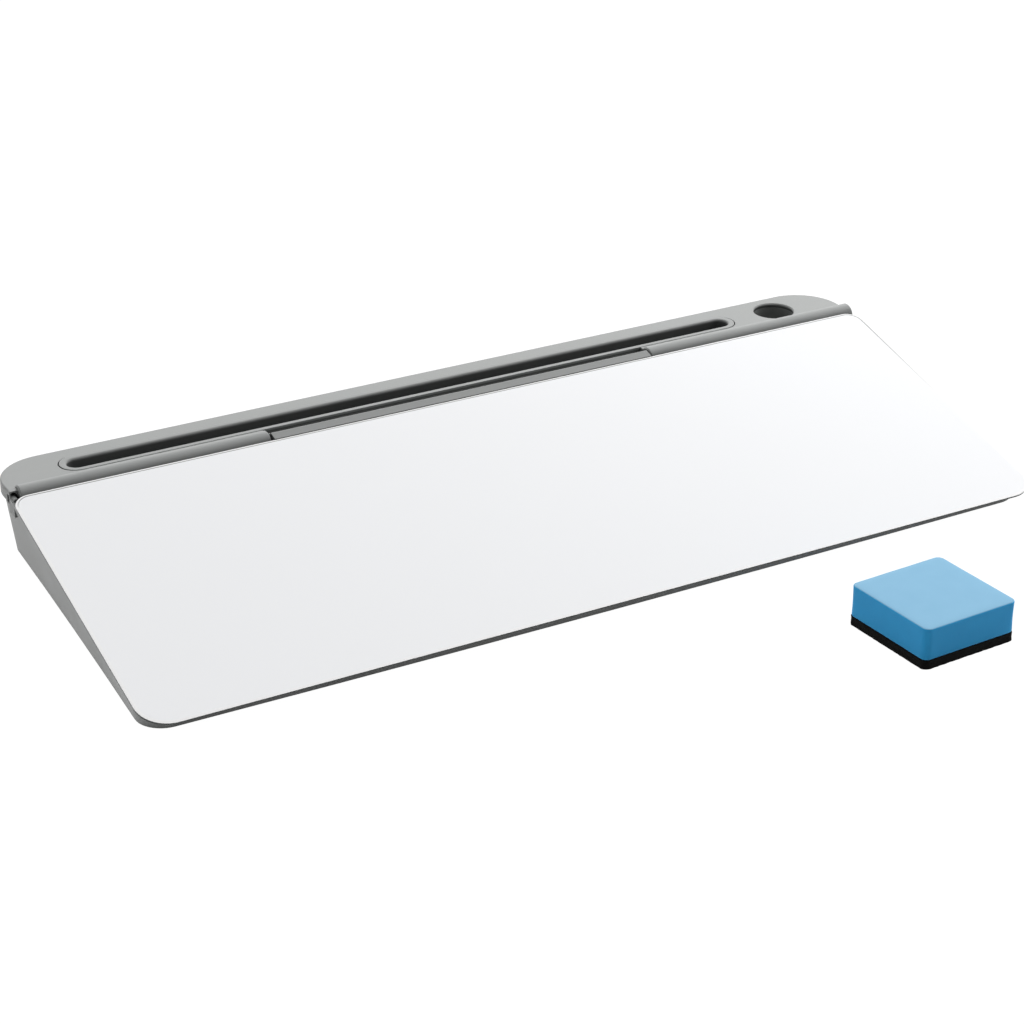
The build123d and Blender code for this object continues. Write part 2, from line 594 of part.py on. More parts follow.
def knuckle():
    """Strip flush with the glass, rolled round the hinge axis, with a gusset below."""
    strip_y = -HINGE_SETBACK + GLASS_JOINT
    root_y = FRAME_REAR - FRAME_RIM / 2
    reach = math.hypot(root_y, FRAME_BOTTOM)
    touch = math.atan2(FRAME_BOTTOM, root_y) + math.acos(KNUCKLE_RADIUS / reach)
    profile = Polyline(
        (0, KNUCKLE_RADIUS),
        (strip_y, KNUCKLE_RADIUS),
        (strip_y, FRAME_TOP),
        (root_y, FRAME_TOP),
        (root_y, FRAME_BOTTOM),
        (KNUCKLE_RADIUS * math.cos(touch), KNUCKLE_RADIUS * math.sin(touch)),
        (0, 0),
        close=True,
    )
    web = extrude(Plane.YZ * make_face(profile), amount=KNUCKLE_HALF, both=True)
    roll = rod(-KNUCKLE_HALF, KNUCKLE_HALF, 0, 0, KNUCKLE_RADIUS)
    bore_start = KNUCKLE_HALF - PIN_IN_KNUCKLE - PIN_END_ROOM
    bore = rod(bore_start, KNUCKLE_HALF + KNUCKLE_GAP, 0, 0, PIN_RADIUS + PIN_RUNNING_FIT)
    return Pos(KNUCKLE_SHIFT) * (web + roll - both_sides(bore))


def recess_outline(gap=0.0):
    """Outline of the frame's recess, moved inwards by gap."""
    rim = FRAME_RIM + gap
    corner = FRAME_CORNER - FRAME_RIM
    return plate_outline(FRAME_HALF_WIDTH - rim, FRAME_FRONT + rim, FRAME_REAR - rim, corner, corner)


def lid_frame():
    """Moulded frame under the glass, with the hinge knuckle on its rear edge."""
    outline = plate_outline(FRAME_HALF_WIDTH, FRAME_FRONT, FRAME_REAR, FRAME_CORNER, FRAME_CORNER)
    frame = slab(outline, FRAME_BOTTOM, FRAME_TOP) + frame_ribs()
    frame -= slab(recess_outline(), RECESS_LEVEL, FRAME_TOP)
    return frame + knuckle()


def glass_panel():
    """Writing glass with a shallow bevel round its top and its lower edge ground away."""
    front = -AXIS_RUN
    outline = plate_outline(GLASS_WIDTH / 2, front, -HINGE_SETBACK, GLASS_FRONT_RADIUS, GLASS_REAR_RADIUS)
    panel = slab(outline, KNUCKLE_RADIUS - GLASS_THICK, KNUCKLE_RADIUS)
    panel = chamfer(panel.faces().sort_by(Axis.Z)[0].edges(), GLASS_UNDERCUT)
    top = panel.faces().sort_by(Axis.Z)[-1]
    return chamfer(top.edges(), GLASS_BEVEL, GLASS_BEVEL_DROP, reference=top)


def white_backcoat():
    """White film on the back of the glass."""
    outline = plate_outline(
        GLASS_WIDTH / 2 - BACKCOAT_INSET,
        BACKCOAT_INSET - AXIS_RUN,
        -HINGE_SETBACK - BACKCOAT_INSET,
        GLASS_FRONT_RADIUS - BACKCOAT_INSET,
        GLASS_REAR_RADIUS - BACKCOAT_INSET,
    )
    return slab(outline, FRAME_TOP, FRAME_TOP + BACKCOAT_THICK)


def steel_sheet():
    """Sheet that magnets hold to."""
    return slab(recess_outline(STEEL_INSET / 4), FRAME_TOP - STEEL_THICK, FRAME_TOP)


def foam_tape():
    """Strips of foam tape between the steel sheet and the frame."""
    half = FRAME_HALF_WIDTH - FRAME_RIM - STEEL_INSET
    tape = Part()
    for i in range(TAPE_COUNT):
        y = FRAME_FRONT + (FRAME_REAR - FRAME_FRONT) * (i + 0.5) / TAPE_COUNT - TAPE_WIDTH / 2
        tape += box_between(-half, half, y, y + TAPE_WIDTH, RECESS_LEVEL, RECESS_LEVEL + TAPE_THICK)
    return tape


# ------------------------------------------------------------------ eraser, in its own turned frame
def eraser_outline():
    """Square with rounded corners."""
    return RectangleRounded(ERASER_SIDE, ERASER_SIDE, ERASER_CORNER)


def eraser_foam():
    """Foam block with a pocket for the magnet in its underside."""
    foam = slab(eraser_outline(), FELT_THICK, FELT_THICK + FOAM_THICK)
    foam = chamfer(foam.edges().group_by(Axis.Z)[-1], ERASER_EDGE)
    depth = ERASER_MAGNET_THICK + ERASER_MAGNET_ROOM
    side = ERASER_MAGNET_SIDE + 2 * ERASER_MAGNET_ROOM
    return foam - block(0, 0, FELT_THICK, FELT_THICK + depth, side, side)


def eraser_felt():
    """Wiping pad."""
    return slab(eraser_outline(), 0, FELT_THICK)


def eraser_magnet():
    """Square plate between the foam and the felt."""
    top = FELT_THICK + ERASER_MAGNET_THICK
    return block(0, 0, FELT_THICK, top, ERASER_MAGNET_SIDE, ERASER_MAGNET_SIDE)


# ------------------------------------------------------------------ all the pieces
def make_parts():
    """Every piece by its name."""
    pin = hinge_pin()
    middle = Pos(KNUCKLE_SHIFT)
    parts = {
        "base_tray": base_tray(),
        "rear_rail": rear_rail(),
        "slot_liner": slot_liner(),
        "pen_cup": pen_cup(),
        "rail_screws": rail_screws(),
        "hinge_pin_right": middle * pin,
        "hinge_pin_left": middle * left_hand(pin),
    }
    for name, x, y in foot_places():
        parts[name] = foot(x, y)
    for name, x, y in bumper_places():
        parts[name] = bumper(x, y)
    for name, side in (("catch_magnet_left", -1), ("catch_magnet_right", 1)):
        parts[name] = magnet_location(side) * block(0, 0, 0, MAGNET_THICK, MAGNET_SIDE, MAGNET_SIDE)
    for make in (lid_frame, glass_panel, white_backcoat, steel_sheet, foam_tape):
        parts[make.__name__] = LID * make()
    desk = Location((ERASER_X, ERASER_Y, -FOOT_PROUD), (0, 0, ERASER_YAW))
    for make in (eraser_foam, eraser_felt, eraser_magnet):
        parts[make.__name__] = desk * make()
    return parts


os.makedirs("parts", exist_ok=True)
for node, shape in make_parts().items():
    export_step(shape, f"parts/{node}.step")
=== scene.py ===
"""Dresses the desk whiteboard.

It holds the finishes of the moulded, glass and steel pieces, the lid's moulding, the eraser and the studio.
"""

import json
import logging
import math
from dataclasses import dataclass
from enum import Enum

import bmesh
import bpy
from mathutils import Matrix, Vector, noise


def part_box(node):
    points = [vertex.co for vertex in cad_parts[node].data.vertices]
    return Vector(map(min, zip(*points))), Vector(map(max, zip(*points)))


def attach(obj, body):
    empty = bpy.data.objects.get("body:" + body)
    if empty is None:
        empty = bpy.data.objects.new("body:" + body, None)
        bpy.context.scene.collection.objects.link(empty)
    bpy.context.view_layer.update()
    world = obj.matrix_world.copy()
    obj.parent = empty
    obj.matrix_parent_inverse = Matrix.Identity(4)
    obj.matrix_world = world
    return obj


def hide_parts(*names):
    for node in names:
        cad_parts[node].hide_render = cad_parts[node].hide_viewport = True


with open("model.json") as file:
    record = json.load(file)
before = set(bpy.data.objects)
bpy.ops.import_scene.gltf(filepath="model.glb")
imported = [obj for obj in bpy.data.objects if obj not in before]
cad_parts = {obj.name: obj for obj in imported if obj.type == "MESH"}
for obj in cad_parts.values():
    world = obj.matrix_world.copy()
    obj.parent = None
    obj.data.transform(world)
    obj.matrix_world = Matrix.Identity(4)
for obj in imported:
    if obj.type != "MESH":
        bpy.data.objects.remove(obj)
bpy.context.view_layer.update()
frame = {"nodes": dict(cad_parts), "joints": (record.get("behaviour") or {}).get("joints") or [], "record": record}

LOG = logging.getLogger("desk_whiteboard")
MM = 0.001

Colour = tuple[float, float, float]
Point = tuple[float, float, float]
Span = tuple[float, float]

ACROSS = Vector((1, 0, 0))
BACKWARD = Vector((0, 1, 0))
UP = Vector((0, 0, 1))
WHITE: Colour = (1.0, 1.0, 1.0)
NOISE_RANGE: Span = (0.3, 0.7)
OPEN_RANGE: Span = (0.25, 0.8)
SHADE_SAMPLES = 6
LEVEL_MATCH = 0.9999
MIX_SHARE, MIX_VECTOR_A, MIX_VECTOR_B, MIX_VECTOR_OUT = 0, 4, 5, 1
SPREAD: Point = (0.7548776662, 0.5698402910, 0.8191725134)


def from_screen(red: float, green: float, blue: float) -> Colour:
    """Turns a screen colour into the linear one that shaders take.

    Args:
        red: Red, 0 to 255.
        green: Green, 0 to 255.
        blue: Blue, 0 to 255.

    Returns:
        The linear colour, each part from 0 to 1.
    """
    parts = []
    for value in (red, green, blue):
        share = value / 255
        parts.append(share / 12.92 if share <= 0.04045 else ((share + 0.055) / 1.055) ** 2.4)
    return (parts[0], parts[1], parts[2])


def tinted(colour: Colour, factors: Colour) -> Colour:
    """Multiplies a colour part by part, up to full strength.

    Args:
        colour: The linear colour.
        factors: What its red, green and blue are multiplied by.

    Returns:
        The linear colour, each part at most 1.
    """
    red, green, blue = (min(1.0, part * factor) for part, factor in zip(colour, factors))
    return (red, green, blue)


def evenly(factor: float) -> Colour:
    """Gives the same factor for red, green and blue.

    Args:
        factor: The factor.

    Returns:
        The three factors.
    """
    return (factor, factor, factor)


class NodeBench:
    """Lays the nodes of one material or world and links them."""

    def __init__(self, owner: bpy.types.Material | bpy.types.World, output: str = "OutputMaterial") -> None:
        """Clears the owner's nodes and adds its output.

        Args:
            owner: The material or world.
            output: The output node's class name without its ShaderNode prefix.
        """
        self.owner = owner
        owner.use_nodes = True
        self.tree = owner.node_tree
        self.tree.nodes.clear()
        self.output = self.add(output)

    def add(self, kind: str, settings: dict | None = None, **sockets: object) -> bpy.types.Node:
        """Adds a node.

        Args:
            kind: The node's class name without its ShaderNode prefix.
            settings: Properties of the node itself.
            **sockets: Input name, with underscores for spaces, to a number, a colour or an output to link.

        Returns:
            The new node.
        """
        node = self.tree.nodes.new("ShaderNode" + kind)
        for key, value in (settings or {}).items():
            setattr(node, key, value)
        for key, value in sockets.items():
            self.feed(node, key.replace("_", " "), value)
        return node

    def feed(self, node: bpy.types.Node, socket: str | int, value: object) -> None:
        """Sets an input to a value, or links an output to it.

        Args:
            node: The node.
            socket: The input's name or number.
            value: A number, a colour, a vector or an output.
        """
        target = node.inputs[socket]
        if isinstance(value, bpy.types.NodeSocket):
            self.tree.links.new(value, target)
        elif isinstance(value, tuple) and len(value) == 3 and target.type == "RGBA":
            target.default_value = (*value, 1.0)
        else:
            target.default_value = value

    def math(self, operation: str, first: object, second: object = 0.0) -> bpy.types.NodeSocket:
        """Adds a Math node.

        Args:
            operation: The node's operation.
            first: The first number or output.
            second: The second number or output.

        Returns:
            The node's output.
        """
        node = self.add("Math", {"operation": operation})
        self.feed(node, 0, first)
        self.feed(node, 1, second)
        return node.outputs[0]

    def length(self, first: bpy.types.NodeSocket, second: bpy.types.NodeSocket) -> bpy.types.NodeSocket:
        """Gives the length of the diagonal over two sides at right angles.

        Args:
            first: The first side.
            second: The second side.

        Returns:
            The diagonal's length.
        """
        squares = [self.math("MULTIPLY", side, side) for side in (first, second)]
        return self.math("SQRT", self.math("ADD", *squares))

    def dot(self, vector: bpy.types.NodeSocket, direction: object) -> bpy.types.NodeSocket:
        """Gives the dot product of two vectors.

        Args:
            vector: A vector output.
            direction: Another output, or a fixed direction.

        Returns:
            The product.
        """
        node = self.add("VectorMath", {"operation": "DOT_PRODUCT"})
        self.feed(node, 0, vector)
        self.feed(node, 1, tuple(direction) if isinstance(direction, Vector) else direction)
        return node.outputs["Value"]

    def ramp(self, value: object, low: object, high: object, start: object, end: object,
             curve: str = "LINEAR") -> bpy.types.NodeSocket:
        """Maps a value from one range to another, clamped at both ends.

        Args:
            value: The output to map.
            low: Where the source range starts.
            high: Where it ends.
            start: The result at low.
            end: The result at high.
            curve: LINEAR, or SMOOTHSTEP for soft ends.

        Returns:
            The mapped output.
        """
        node = self.add("MapRange", {"clamp": True, "interpolation_type": curve})
        for socket, given in zip(range(5), (value, low, high, start, end)):
            self.feed(node, socket, given)
        return node.outputs[0]

    def blend(self, share: object, first: object, second: object) -> bpy.types.NodeSocket:
        """Mixes two colours.

        Args:
            share: How much of the second colour shows.
            first: The first colour or output.
            second: The second colour or output.

        Returns:
            The mixed colour's output.
        """
        node = self.add("Mix", {"data_type": "RGBA", "clamp_factor": True})
        colours = [s for s in node.inputs if s.type == "RGBA"]
        factor = next(s for s in node.inputs if s.type == "VALUE" and s.enabled)
        for target, value in ((factor, share), (colours[0], first), (colours[1], second)):
            if isinstance(value, bpy.types.NodeSocket):
                self.tree.links.new(value, target)
            else:
                target.default_value = (*value, 1.0) if isinstance(value, tuple) else value
        return next(s for s in node.outputs if s.type == "RGBA")

    def place(self) -> bpy.types.NodeSocket:
        """Gives the surface point in the piece's own space.

        Returns:
            The point, in metres.
        """
        return self.add("TexCoord").outputs["Object"]

    def facing(self) -> bpy.types.NodeSocket:
        """Gives the surface normal in the piece's own space.

        Returns:
            The normal, one unit long.
        """
        return self.add("TexCoord").outputs["Normal"]

    def grain(self, spacing: float, detail: float = 2.0,
              stretch: Point = (1.0, 1.0, 1.0)) -> bpy.types.NodeSocket:
        """Adds a noise pattern.

        Args:
            spacing: The size of one fleck, in metres.
            detail: How many finer layers it holds.
            stretch: Scale along X, Y and Z; below 1 draws the flecks out.

        Returns:
            The noise, about 0.5 on average.
        """
        mapped = self.add("Mapping", {"vector_type": "POINT"}, Vector=self.place(), Scale=stretch)
        node = self.add("TexNoise", Vector=mapped.outputs[0], Scale=1.0 / spacing, Detail=detail)
        return node.outputs[0]

    def openness(self, reach: float, darkest: float) -> bpy.types.NodeSocket:
        """Tells open surfaces from gaps and seams, where shade is painted.

        Args:
            reach: How near a neighbouring surface counts, in metres.
            darkest: The result deep in a gap.

        Returns:
            1 in the open, down to darkest in a gap.
        """
        node = self.add("AmbientOcclusion", {"samples": SHADE_SAMPLES}, Distance=reach)
        return self.ramp(node.outputs["AO"], *OPEN_RANGE, darkest, 1.0)

    def relief(self, height: bpy.types.NodeSocket, depth: float,
               normal: bpy.types.NodeSocket | None = None) -> bpy.types.NodeSocket:
        """Turns a height pattern into surface relief.

        Args:
            height: The pattern, 0 to 1.
            depth: Its full depth, in metres.
            normal: The normal that it is laid over.

        Returns:
            The bumped normal.
        """
        node = self.add("Bump", Strength=1.0, Distance=depth, Height=height)
        if normal is not None:
            self.feed(node, "Normal", normal)
        return node.outputs[0]

    def finish(self, **sockets: object) -> bpy.types.Material:
        """Closes the material with a Principled shader.

        Args:
            **sockets: Input name to value or output, as for add.

        Returns:
            The material.
        """
        shader = self.add("BsdfPrincipled", **sockets)
        self.tree.links.new(shader.outputs[0], self.output.inputs["Surface"])
        return self.owner


@dataclass(frozen=True)
class MouldedPlastic:
    """Injection-moulded plastic with a fine spark-eroded texture and softly broken edges, with painted shade in
    its gaps and a painted highlight along its edges.
    """

    name: str
    colour: Colour
    roughness: float = 0.46
    texture: float = 0.45 * MM
    texture_depth: float = 0.007 * MM
    flow: float = 26 * MM
    edge: float = 0.4 * MM
    gap_reach: float = 2.2 * MM
    gap_tone: float = 0.3
    darker: Colour = (0.93, 0.935, 0.94)
    lighter: Colour = (1.05, 1.05, 1.045)
    # colour that the painted shade in gaps and seams darkens towards
    gap_shade_colour: Colour = (0.012, 0.014, 0.0135)
    speck_scale: float = 2.5
    speck_range: Span = (0.35, 0.65)
    speck_share: float = 0.22
    # painted highlight: edges are lightened where the rounded normal turns from the true one
    edge_highlight_turn: Span = (0.985, 0.85)
    edge_highlight_share: float = 0.35
    edge_highlight_lift: float = 1.9
    smoother: float = 0.04
    rougher: float = 0.05

    def shade(self, bench: NodeBench) -> bpy.types.NodeSocket:
        """Gives the share of the colour that shows under the painted shade.

        Args:
            bench: Where the nodes go.

        Returns:
            1, and less in gaps and seams, where shade is painted.
        """
        return bench.openness(self.gap_reach, self.gap_tone)

    def build(self) -> bpy.types.Material:
        """Makes the material.

        Returns:
            The material.
        """
        bench = NodeBench(bpy.data.materials.new(self.name))
        darker = tinted(self.colour, self.darker)
        flow = bench.ramp(bench.grain(self.flow, 3.0), *NOISE_RANGE, 0.0, 1.0)
        speck = bench.ramp(bench.grain(self.texture * self.speck_scale, 2.0), *self.speck_range, 0.0, 1.0)
        tone = bench.blend(flow, darker, tinted(self.colour, self.lighter))
        tone = bench.blend(bench.math("MULTIPLY", speck, self.speck_share), tone, darker)
        # painted shade: the colour darkens in gaps and seams
        tone = bench.blend(self.shade(bench), self.gap_shade_colour, tone)
        rounded = bench.add("Bevel", {"samples": SHADE_SAMPLES}, Radius=self.edge).outputs[0]
        # painted highlight along the edges
        turn = bench.dot(rounded, bench.add("NewGeometry").outputs["Normal"])
        edge_highlight = bench.ramp(turn, *self.edge_highlight_turn, 0.0, self.edge_highlight_share)
        tone = bench.blend(edge_highlight, tone, tinted(self.colour, evenly(self.edge_highlight_lift)))
        skin = bench.relief(bench.grain(self.texture, 3.0), self.texture_depth, rounded)
        gloss = bench.ramp(flow, 0.0, 1.0, self.roughness - self.smoother, self.roughness + self.rougher)
        return bench.finish(Base_Color=tone, Roughness=gloss, Normal=skin, IOR=1.5, Specular_IOR_Level=0.5)


@dataclass(frozen=True)
class WellPlastic(MouldedPlastic):
    """The same moulding for wells: grey round the mouth, and painted shade making it near black down inside."""

    mouth: float = 46.8 * MM
    lit_depth: float = 0.8 * MM
    dark_depth: float = 1.8 * MM
    # how dark the painted shade gets deep inside
    inside_shade: float = 0.34

    def shade(self, bench: NodeBench) -> bpy.types.NodeSocket:
        """Paints shade into the plastic, darker with depth below the mouth.

        Args:
            bench: Where the nodes go.

        Returns:
            The share of the colour that shows.
        """
        depth = bench.math("SUBTRACT", self.mouth, bench.dot(bench.place(), UP))
        # painted shade, deepening below the mouth
        inside = bench.ramp(depth, self.lit_depth, self.dark_depth, 1.0, self.inside_shade)
        return bench.math("MULTIPLY", inside, super().shade(bench))


@dataclass(frozen=True)
class BoredPlastic(MouldedPlastic):
    """The same moulding with one round bore through it, with painted shade down its wall."""

    bore: Vector = Vector((0, 0, 0))
    bore_radius: float = 0.0
    lit_depth: float = 0.7 * MM
    dark_depth: float = 1.7 * MM
    # how dark the painted shade gets down the bore
    inside_shade: float = 0.25

    def shade(self, bench: NodeBench) -> bpy.types.NodeSocket:
        """Paints shade on the wall of the bore, darker with depth below its mouth.

        Args:
            bench: Where the nodes go.

        Returns:
            The share of the colour that shows.
        """
        place = bench.place()
        across = bench.math("SUBTRACT", bench.dot(place, ACROSS), self.bore.x)
        along = bench.math("SUBTRACT", bench.dot(place, BACKWARD), self.bore.y)
        outside = bench.math("GREATER_THAN", bench.length(across, along), self.bore_radius)
        depth = bench.math("SUBTRACT", self.bore.z, bench.dot(place, UP))
        # painted shade down the bore's wall
        inside = bench.ramp(depth, self.lit_depth, self.dark_depth, 1.0, self.inside_shade)
        return bench.math("MULTIPLY", bench.math("MAXIMUM", outside, inside), super().shade(bench))


@dataclass(frozen=True)
class LidPlane:
    """The sloping plane of the lid: its hinge axis, its normal and the way up the slope."""

    axis: Vector
    normal: Vector
    up_slope: Vector

    @classmethod
    def measure(cls, node: str) -> "LidPlane":
        """Reads the plane from a flat node on the lid.

        Args:
            node: The node's name.

        Returns:
            The plane.
        """
        faces = frame["nodes"][node].data.polygons
        level = max((f for f in faces if f.normal.z > 0), key=lambda f: f.area).normal
        total = Vector((0, 0, 0))
        for face in faces:
            if face.normal.dot(level) > LEVEL_MATCH:
                total += face.normal * face.area
        normal = total.normalized()
        joint = next(j for j in frame["joints"] if j["name"] == "lid_hinge")
        return cls(Vector(joint["pos_m"]), normal, normal.cross(ACROSS).normalized())

    def spans(self, node: str) -> tuple[float, float, float]:
        """Measures a node in the plane.

        Args:
            node: The node's name.

        Returns:
            Half its width, and how far its front and rear edges lie up the slope from the axis.
        """
        points = [v.co for v in frame["nodes"][node].data.vertices]
        runs = [(p - self.axis).dot(self.up_slope) for p in points]
        return max(abs(p.x) for p in points), min(runs), max(runs)


@dataclass(frozen=True)
class BackPaintedGlass:
    """Clear glass over a white coat: white from above, with a painted highlight on its bevel, a painted reflection
    line inside it, and a ground edge darkened by painted reflection and shade.
    """

    name: str
    plane: LidPlane
    white: Colour = from_screen(246, 247, 249)
    # painted highlight: the bevel outside the line is whiter than the top
    bevel_highlight: Colour = from_screen(252, 252, 252)
    # painted reflection: a thin grey line along the bevel's inner edge, strongest at the rear and fading down the
    # sides
    bevel_reflection_line: Colour = from_screen(98, 102, 100)
    # painted reflection and shade: the glass's own green, darkened to near black for the dark that its edge
    # reflects and the shade under its overhang
    ground_edge: Colour = from_screen(40, 46, 44)
    front_radius: float = 14 * MM
    rear_radius: float = 8 * MM
    line_inset: float = 1.2 * MM
    line_width: float = 0.46 * MM
    line_reach: Span = (-0.22, 0.05)
    line_at_right: float = 0.75
    left_fade: Span = (-0.014, -0.005)
    right_fade: Span = (-0.085, -0.020)
    bevel_spread: float = 0.9
    edge_lean: Span = (0.55, 0.75)
    top_roughness: float = 0.05
    edge_roughness: float = 0.3
    wave: float = 60 * MM
    wave_depth: float = 0.004 * MM

    def inset(self, bench: NodeBench, node: str) -> bpy.types.NodeSocket:
        """Gives how far a point of the top lies inside the panel's outline.

        Args:
            bench: Where the nodes go.
            node: The panel's node.

        Returns:
            The distance in metres, growing inwards.
        """
        half, front, rear = self.plane.spans(node)
        place = bench.place()
        across = bench.math("ABSOLUTE", bench.dot(place, ACROSS))
        start = self.plane.axis.dot(self.plane.up_slope)
        middle = start + (front + rear) / 2
        along = bench.math("SUBTRACT", bench.dot(place, self.plane.up_slope), middle)
        behind = bench.math("GREATER_THAN", along, 0.0)
        radius = bench.ramp(behind, 0.0, 1.0, self.front_radius, self.rear_radius)
        past_x = bench.math("ADD", bench.math("SUBTRACT", across, half), radius)
        off_middle = bench.math("SUBTRACT", bench.math("ABSOLUTE", along), (rear - front) / 2)
        past_y = bench.math("ADD", off_middle, radius)
        outside = bench.length(bench.math("MAXIMUM", past_x, 0.0), bench.math("MAXIMUM", past_y, 0.0))
        inside = bench.math("MINIMUM", bench.math("MAXIMUM", past_x, past_y), 0.0)
        return bench.math("SUBTRACT", radius, bench.math("ADD", outside, inside))

    def build(self) -> bpy.types.Material:
        """Makes the material.

        Returns:
            The material.
        """
        bench = NodeBench(bpy.data.materials.new(self.name))
        lean = bench.dot(bench.facing(), self.plane.normal)
        start = self.plane.axis.dot(self.plane.up_slope)
        depth = self.inset(bench, "glass_panel")
        # painted reflection line along the bevel's inner edge
        off_line = bench.math("ABSOLUTE", bench.math("SUBTRACT", depth, self.line_inset))
        line = bench.ramp(off_line, self.line_width / 2, self.line_width, 1.0, 0.0)
        up_slope = bench.math("SUBTRACT", bench.dot(bench.place(), self.plane.up_slope), start)
        across = bench.dot(bench.place(), ACROSS)
        right = bench.math("GREATER_THAN", across, 0.0)
        fade = [bench.ramp(right, 0.0, 1.0, *ends) for ends in zip(self.left_fade, self.right_fade)]
        line = bench.math("MULTIPLY", line, bench.ramp(up_slope, *fade, 0.0, 1.0))
        line = bench.math("MULTIPLY", line, bench.ramp(across, *self.line_reach, 1.0, self.line_at_right))
        past_line = bench.ramp(depth, self.line_inset, self.line_inset + self.line_width, 1.0, 0.0)
        # painted highlight on the bevel band
        tone = bench.blend(past_line, self.white, self.bevel_highlight)
        tone = bench.blend(line, tone, self.bevel_reflection_line)
        # painted reflection and shade on the ground edge
        shows_edge = bench.ramp(lean, *self.edge_lean, 1.0, 0.0)
        tone = bench.blend(shows_edge, tone, self.ground_edge)
        gloss = bench.ramp(shows_edge, 0.0, 1.0, self.top_roughness, self.edge_roughness)
        wave = bench.relief(bench.grain(self.wave, 1.0), self.wave_depth, self.softened(bench, shows_edge))
        return bench.finish(Base_Color=tone, Roughness=gloss, Normal=wave, IOR=1.52, Specular_IOR_Level=0.5)

    def softened(self, bench: NodeBench, shows_edge: bpy.types.NodeSocket) -> bpy.types.NodeSocket:
        """Evens the bevel's normal towards the top's, as light spreads inside the glass.

        Args:
            bench: Where the nodes go.
            shows_edge: 1 on the ground edge, which keeps its own normal.

        Returns:
            The normal.
        """
        settings = {"vector_type": "NORMAL", "convert_from": "OBJECT", "convert_to": "WORLD"}
        level = bench.add("VectorTransform", settings, Vector=tuple(self.plane.normal)).outputs[0]
        own = bench.add("NewGeometry").outputs["Normal"]
        mix = bench.add("Mix", {"data_type": "VECTOR"})
        bench.feed(mix, MIX_SHARE, bench.ramp(shows_edge, 0.0, 1.0, self.bevel_spread, 0.0))
        bench.feed(mix, MIX_VECTOR_A, own)
        bench.feed(mix, MIX_VECTOR_B, level)
        return mix.outputs[MIX_VECTOR_OUT]


@dataclass(frozen=True)
class Metal:
    """Metal with drawn or rolled lines along one direction."""

    name: str
    colour: Colour
    roughness: float
    lines: float = 0.25 * MM
    stretch: Point = (0.04, 1.0, 1.0)
    depth: float = 0.003 * MM
    darker: float = 0.8
    smoother: float = 0.06
    rougher: float = 0.08

    def build(self) -> bpy.types.Material:
        """Makes the material.

        Returns:
            The material.
        """
        bench = NodeBench(bpy.data.materials.new(self.name))
        lines = bench.grain(self.lines, 3.0, self.stretch)
        tone = bench.blend(lines, tinted(self.colour, evenly(self.darker)), self.colour)
        gloss = bench.ramp(lines, *NOISE_RANGE, self.roughness - self.smoother, self.roughness + self.rougher)
        skin = bench.relief(lines, self.depth)
        return bench.finish(Base_Color=tone, Metallic=1.0, Roughness=gloss, Normal=skin)


@dataclass(frozen=True)
class Rubber:
    """Matte rubber or film with a fine pebbled skin."""

    name: str
    colour: Colour
    roughness: float = 0.75
    pebble: float = 0.5 * MM
    depth: float = 0.02 * MM
    cloud: float = 4 * MM
    darker: float = 0.75

    def build(self) -> bpy.types.Material:
        """Makes the material.

        Returns:
            The material.
        """
        bench = NodeBench(bpy.data.materials.new(self.name))
        pebble = bench.add("TexVoronoi", Vector=bench.place(), Scale=1.0 / self.pebble).outputs["Distance"]
        tone = bench.blend(bench.grain(self.cloud), tinted(self.colour, evenly(self.darker)), self.colour)
        skin = bench.relief(pebble, self.depth)
        return bench.finish(Base_Color=tone, Roughness=self.roughness, Normal=skin, Specular_IOR_Level=0.4)


@dataclass(frozen=True)
class CellFoam:
    """Closed-cell foam: a smooth top painted paler with a painted sheen, and cut sides with fine open cells."""

    name: str
    # painted sheen: the top's colour is the foam's blue under a whitish veil of reflected light
    skin: Colour = from_screen(132, 186, 218)
    cut: Colour = from_screen(55, 186, 253)
    cell: float = 0.32 * MM
    depth: float = 0.035 * MM
    cloud: float = 9 * MM
    top_lean: Span = (0.55, 0.9)
    cut_shade: Colour = (0.93, 0.95, 0.97)
    skin_shade: Colour = (0.95, 0.97, 0.98)
    pore_shade: Colour = (0.6, 0.7, 0.8)
    pore_reach: float = 0.35
    pore_share: float = 0.15
    skin_relief: float = 0.3

    def build(self) -> bpy.types.Material:
        """Makes the material.

        Returns:
            The material.
        """
        bench = NodeBench(bpy.data.materials.new(self.name))
        upward = bench.ramp(bench.dot(bench.facing(), UP), *self.top_lean, 0.0, 1.0)
        cells = bench.add("TexVoronoi", Vector=bench.place(), Scale=1.0 / self.cell).outputs["Distance"]
        cloud = bench.ramp(bench.grain(self.cloud, 3.0), *NOISE_RANGE, 0.0, 1.0)
        pores = bench.math("MULTIPLY", bench.ramp(cells, 0.0, self.pore_reach, 1.0, 0.0), self.pore_share)
        sides = bench.blend(cloud, tinted(self.cut, self.cut_shade), self.cut)
        sides = bench.blend(pores, sides, tinted(self.cut, self.pore_shade))
        # painted sheen: upward faces take the paler top colour
        top = bench.blend(cloud, tinted(self.skin, self.skin_shade), self.skin)
        tone = bench.blend(upward, sides, top)
        height = bench.math("MULTIPLY", cells, bench.ramp(upward, 0.0, 1.0, 1.0, self.skin_relief))
        skin = bench.relief(height, self.depth)
        return bench.finish(Base_Color=tone, Roughness=0.72, Normal=skin, Specular_IOR_Level=0.35,
                            Sheen_Weight=0.15, Sheen_Roughness=0.5)


